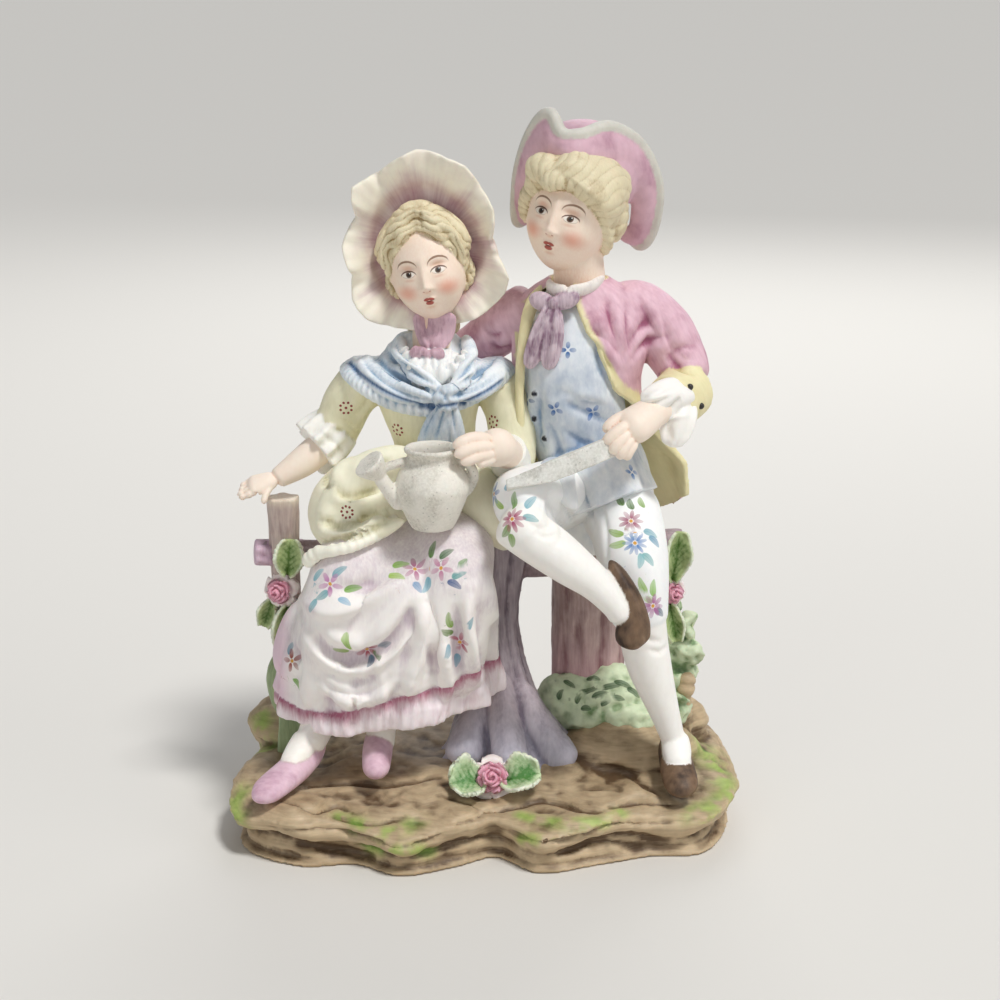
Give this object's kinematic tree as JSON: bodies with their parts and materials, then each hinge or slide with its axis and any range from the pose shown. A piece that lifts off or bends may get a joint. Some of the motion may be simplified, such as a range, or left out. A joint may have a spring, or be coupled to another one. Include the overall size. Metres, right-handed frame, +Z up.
{
  "type": "bisque children figurine",
  "caption": "Painted bisque porcelain figurine of a girl with a watering can and a boy with a stone bar, seated on a log on a rocky base.",
  "frame": {"origin": "on the flat underside of the rock base, below the middle of the group", "axes": "+Z up, the children face -Y, the viewer's right is +X"},
  "size_m": [0.1659, 0.1018, 0.2301],
  "materials": {
    "bisque": "unglazed biscuit porcelain, hand painted in soft fired colours"
  },
  "bodies": {
    "root": {"figurine": "bisque"}
  },
  "joints": []
}
